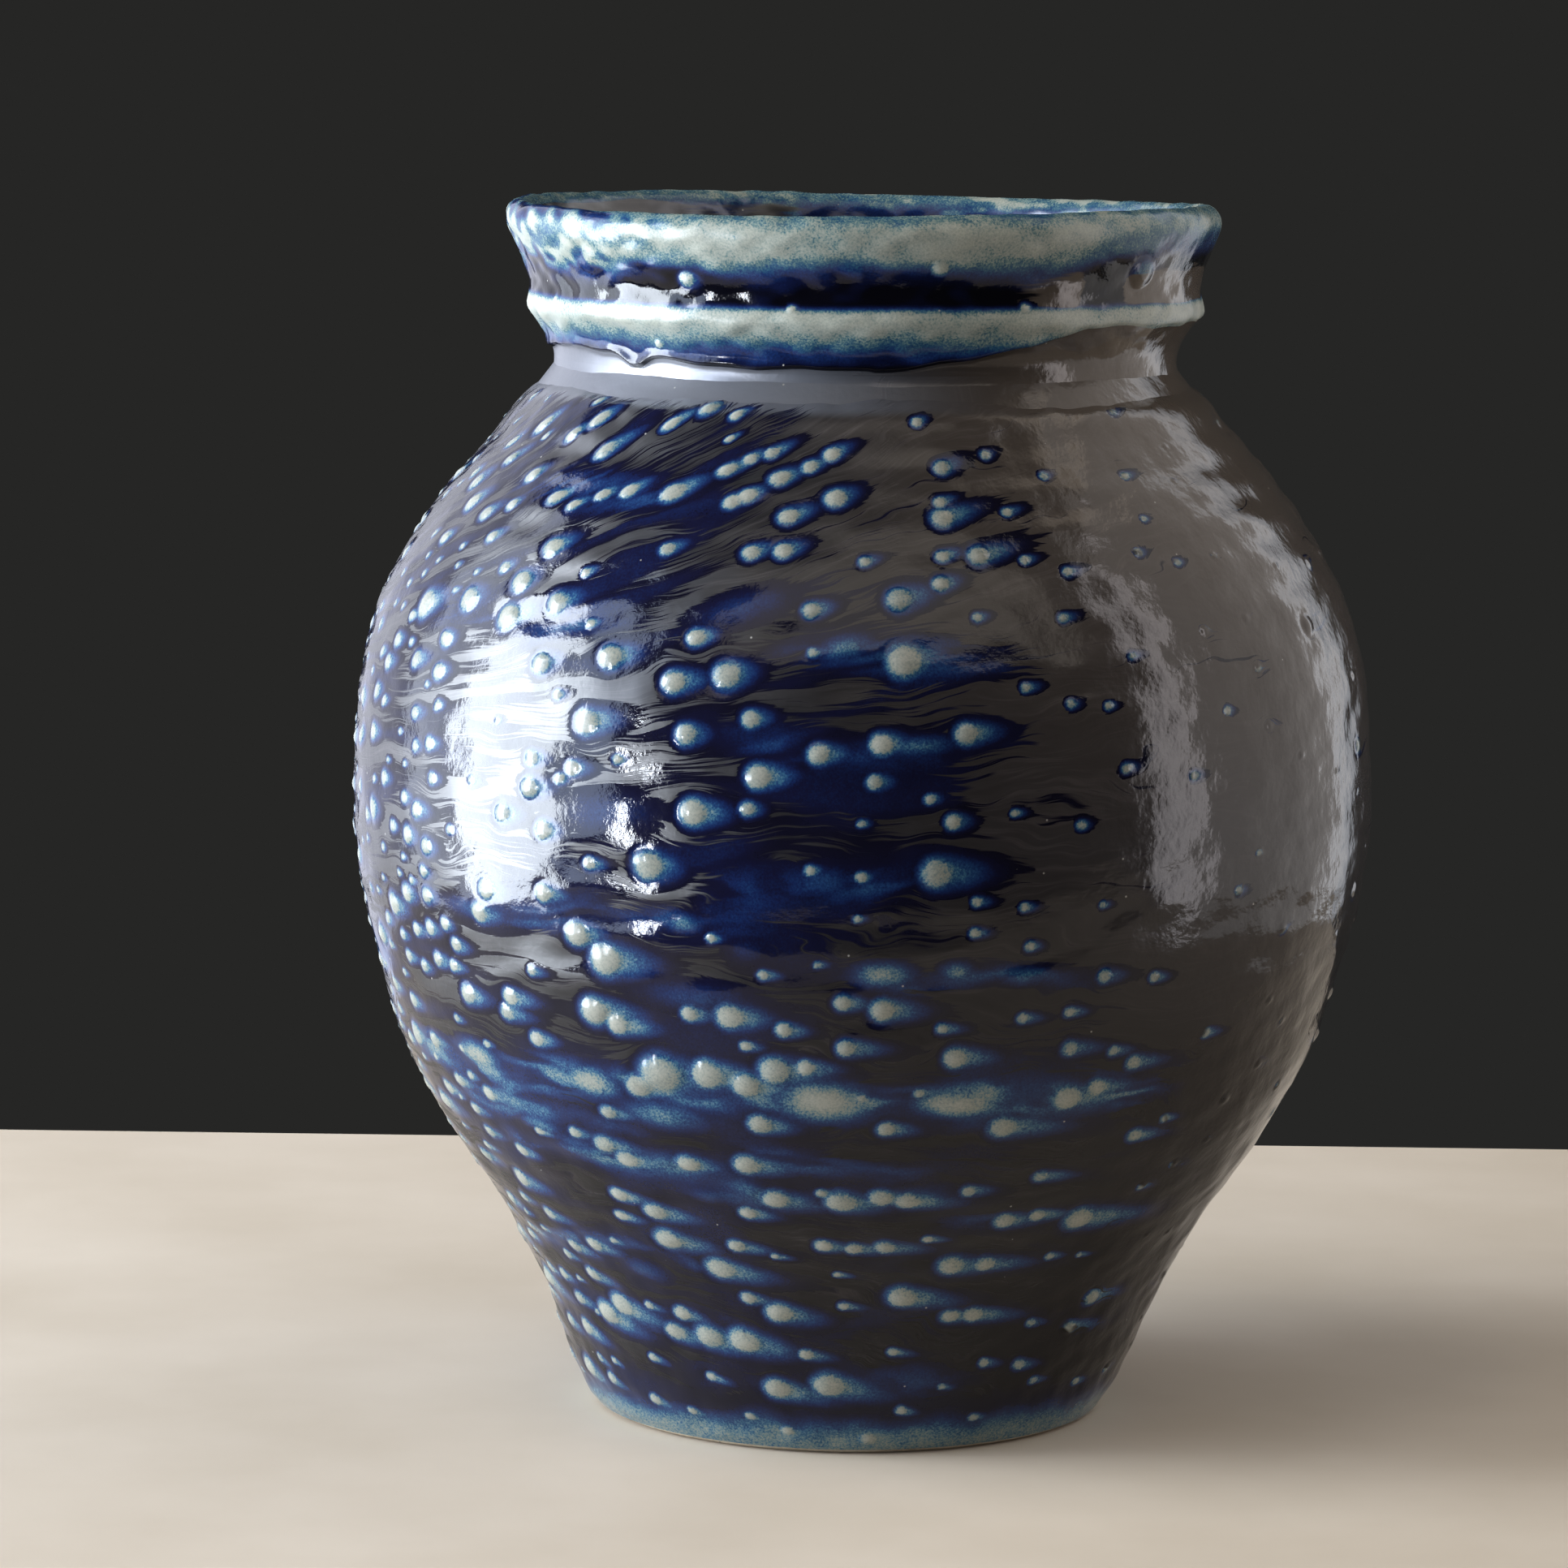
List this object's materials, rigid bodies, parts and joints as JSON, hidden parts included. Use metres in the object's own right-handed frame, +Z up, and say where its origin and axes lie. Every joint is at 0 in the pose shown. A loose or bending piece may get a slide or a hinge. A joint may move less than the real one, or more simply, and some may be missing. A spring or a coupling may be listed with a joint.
{
  "type": "stoneware vase",
  "caption": "Round-bellied thrown stoneware vase with a short waisted neck, beaded collar and rolled rim, in speckled cobalt glaze.",
  "frame": {"origin": "centre of the foot, on the surface the vase stands on", "axes": "+Z up along the axis the vase was thrown on; -Y towards the viewer, +X to the viewer's right"},
  "size_m": [0.185, 0.185, 0.22],
  "materials": {
    "stoneware": "bare fired clay, matt and gritty",
    "cobalt_glaze": "glossy cobalt glass with satin gunmetal flow streaks and raised pale drops",
    "celadon_glaze": "glossy, pale where thin on edges, navy where it pools",
    "brown_glaze": "semi-gloss dark brown inside, with blue towards one side"
  },
  "bodies": {
    "root": {"clay_body": "stoneware", "body_glaze": "cobalt_glaze", "collar_glaze": "celadon_glaze", "liner_glaze": "brown_glaze"}
  },
  "joints": []
}
